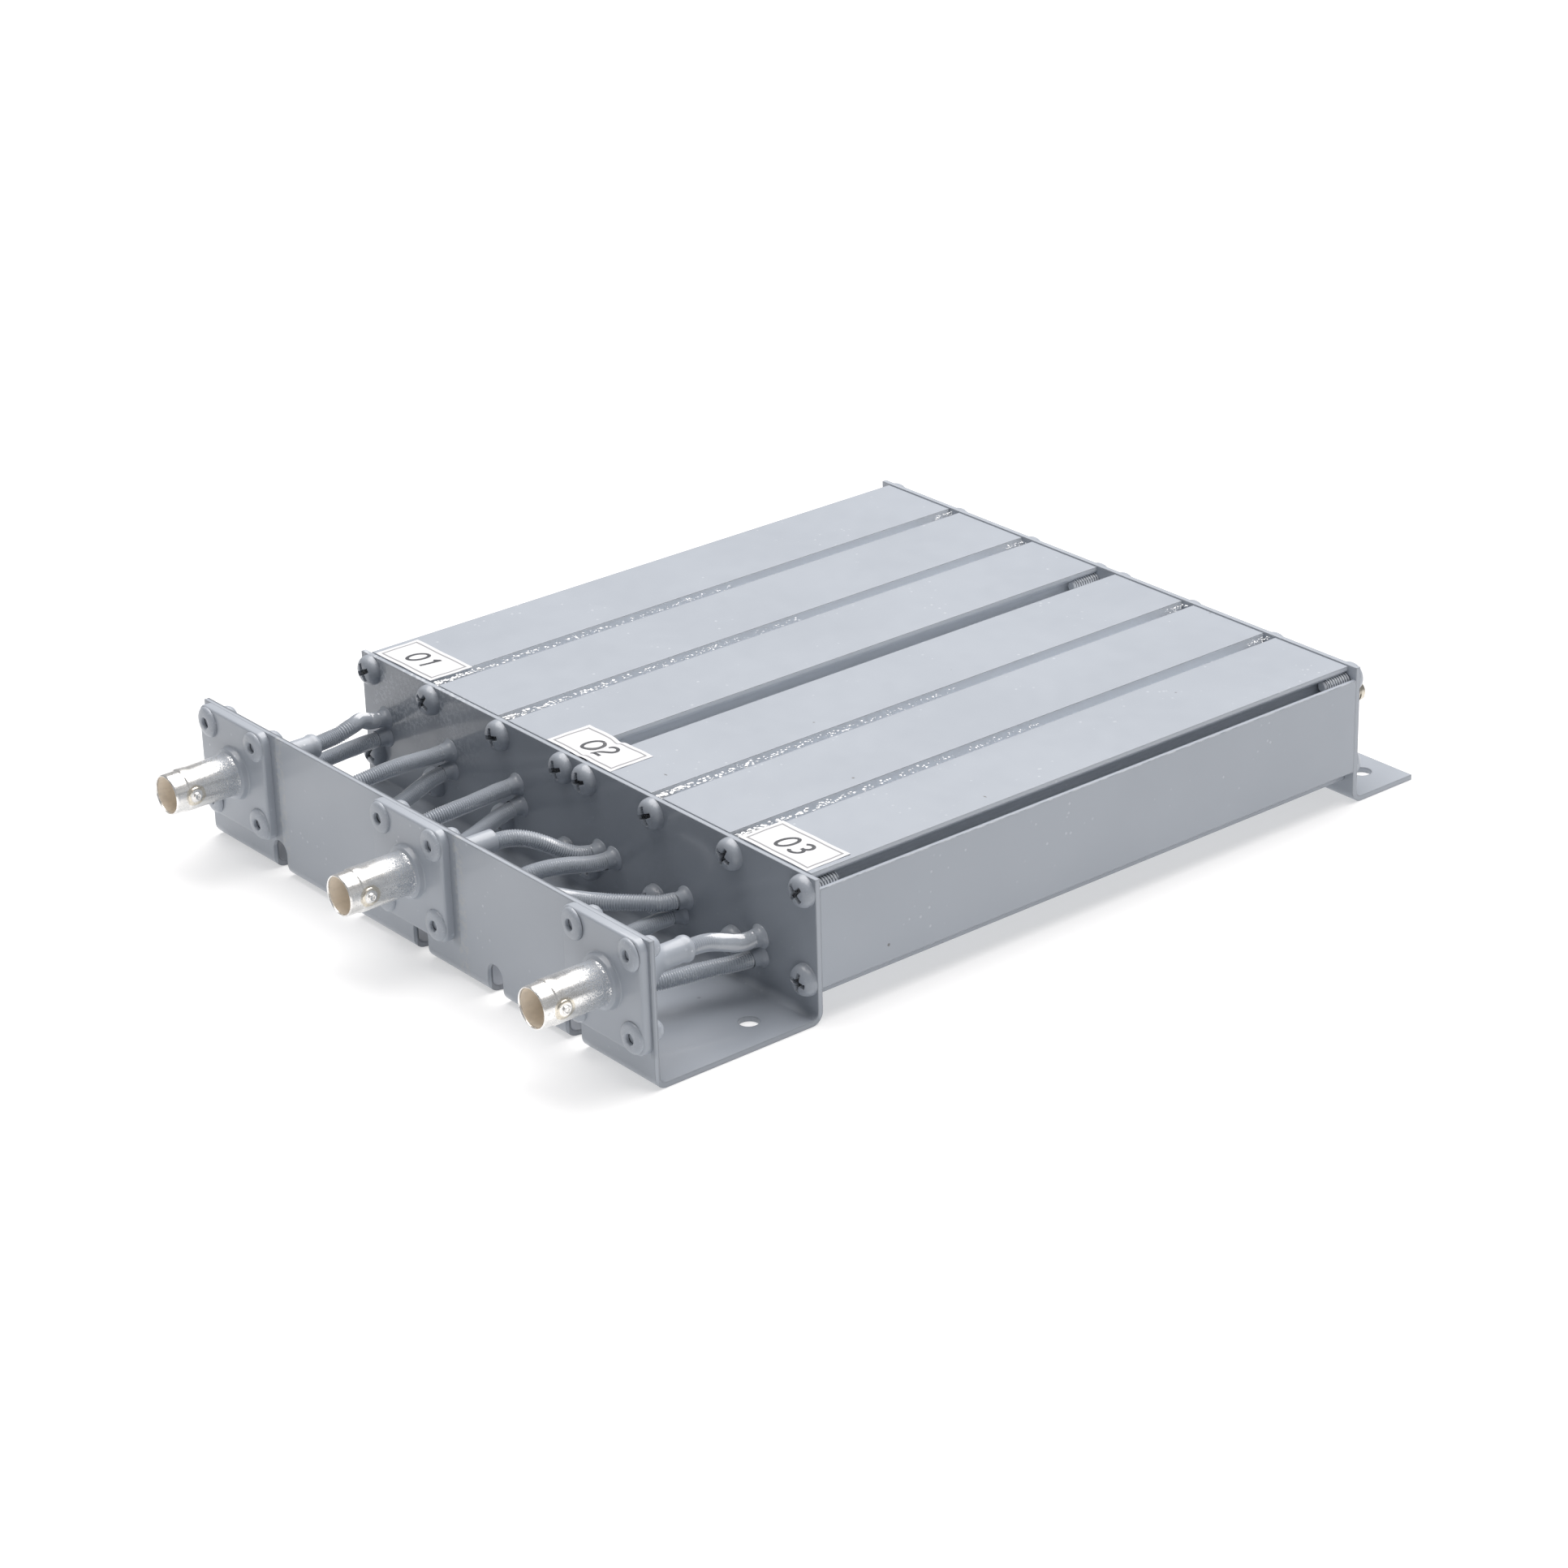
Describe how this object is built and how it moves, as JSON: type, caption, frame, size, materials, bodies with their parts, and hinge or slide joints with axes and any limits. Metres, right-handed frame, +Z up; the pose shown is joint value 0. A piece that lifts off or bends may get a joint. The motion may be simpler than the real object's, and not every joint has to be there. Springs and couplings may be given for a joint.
{
  "type": "cavity duplexer",
  "caption": "Blue-grey radio cavity duplexer: two aluminium cavity extrusions between folded brackets, bayonet jacks and a coax link harness in front, tuning screws behind.",
  "frame": {"origin": "centre of the bounding box at the level of the underside, where the unit rests", "axes": "+X to the right seen from the jacks, +Y from the jacks towards the tuning screws, +Z up; lengths in metres"},
  "size_m": [0.16, 0.2354, 0.0329],
  "materials": {
    "painted_sheet": "semi-gloss blue-grey spray paint over folded aluminium sheet",
    "painted_extrusion": "semi-gloss blue-grey spray paint over extruded aluminium, fine lines along the extrusion",
    "painted_fasteners": "blue-grey spray paint over steel screws and blind rivets, ragged in the recesses",
    "painted_cable": "blue-grey spray paint over tinned braid, finely ribbed",
    "nickel": "bright nickel plating, slightly yellow and stained inside the mouth",
    "ptfe": "waxy off-white fluoropolymer",
    "contact_gold": "gold plated contact",
    "tuner_metal": "bare silver-grey screw with a fine thread",
    "nut_metal": "plated steel nut",
    "rod_metal": "bare turned aluminium",
    "loop_copper": "bare silver-washed copper wire",
    "label_paper": "white paper sticker, slightly wavy"
  },
  "bodies": {
    "duplexer": {"front_bracket": "painted_sheet", "rear_bracket": "painted_sheet", "left_cavity_profile": "painted_extrusion", "right_cavity_profile": "painted_extrusion", "front_screws": "painted_fasteners", "rear_screws": "painted_fasteners", "jack_rivets": "painted_fasteners", "resonator_rod_1": "rod_metal", "resonator_rod_2": "rod_metal", "resonator_rod_3": "rod_metal", "resonator_rod_4": "rod_metal", "resonator_rod_5": "rod_metal", "resonator_rod_6": "rod_metal", "lock_nuts": "nut_metal", "tuning_bushings": "nut_metal", "jack_body_1": "nickel", "jack_body_2": "nickel", "jack_body_3": "nickel", "jack_insulator_1": "ptfe", "jack_insulator_2": "ptfe", "jack_insulator_3": "ptfe", "jack_contact_1": "contact_gold", "jack_contact_2": "contact_gold", "jack_contact_3": "contact_gold", "jack_hood_1": "painted_cable", "jack_hood_2": "painted_cable", "jack_hood_3": "painted_cable", "coax_jack_1_to_cavity_1": "painted_cable", "coax_cavity_1_to_2": "painted_cable", "coax_cavity_2_to_3": "painted_cable", "coax_cavity_3_to_jack_2": "painted_cable", "coax_jack_2_to_cavity_4": "painted_cable", "coax_cavity_4_to_5": "painted_cable", "coax_cavity_5_to_6": "painted_cable", "coax_jack_3_to_cavity_6": "painted_cable", "cable_entry_rings": "painted_cable", "coupling_loops": "loop_copper", "label_left": "label_paper", "label_middle": "label_paper", "label_right": "label_paper"},
    "tuner_1": {"tuning_screw_1": "tuner_metal"},
    "tuner_2": {"tuning_screw_2": "tuner_metal"},
    "tuner_3": {"tuning_screw_3": "tuner_metal"},
    "tuner_4": {"tuning_screw_4": "tuner_metal"},
    "tuner_5": {"tuning_screw_5": "tuner_metal"},
    "tuner_6": {"tuning_screw_6": "tuner_metal"}
  },
  "joints": [
    {"name": "tune_1", "type": "slide", "parent": "duplexer", "child": "tuner_1", "axis": [0, 1, 0], "range_m": [-0.008, 0.006]},
    {"name": "tune_2", "type": "slide", "parent": "duplexer", "child": "tuner_2", "axis": [0, 1, 0], "range_m": [-0.008, 0.006]},
    {"name": "tune_3", "type": "slide", "parent": "duplexer", "child": "tuner_3", "axis": [0, 1, 0], "range_m": [-0.008, 0.006]},
    {"name": "tune_4", "type": "slide", "parent": "duplexer", "child": "tuner_4", "axis": [0, 1, 0], "range_m": [-0.008, 0.006]},
    {"name": "tune_5", "type": "slide", "parent": "duplexer", "child": "tuner_5", "axis": [0, 1, 0], "range_m": [-0.008, 0.006]},
    {"name": "tune_6", "type": "slide", "parent": "duplexer", "child": "tuner_6", "axis": [0, 1, 0], "range_m": [-0.008, 0.006]}
  ]
}
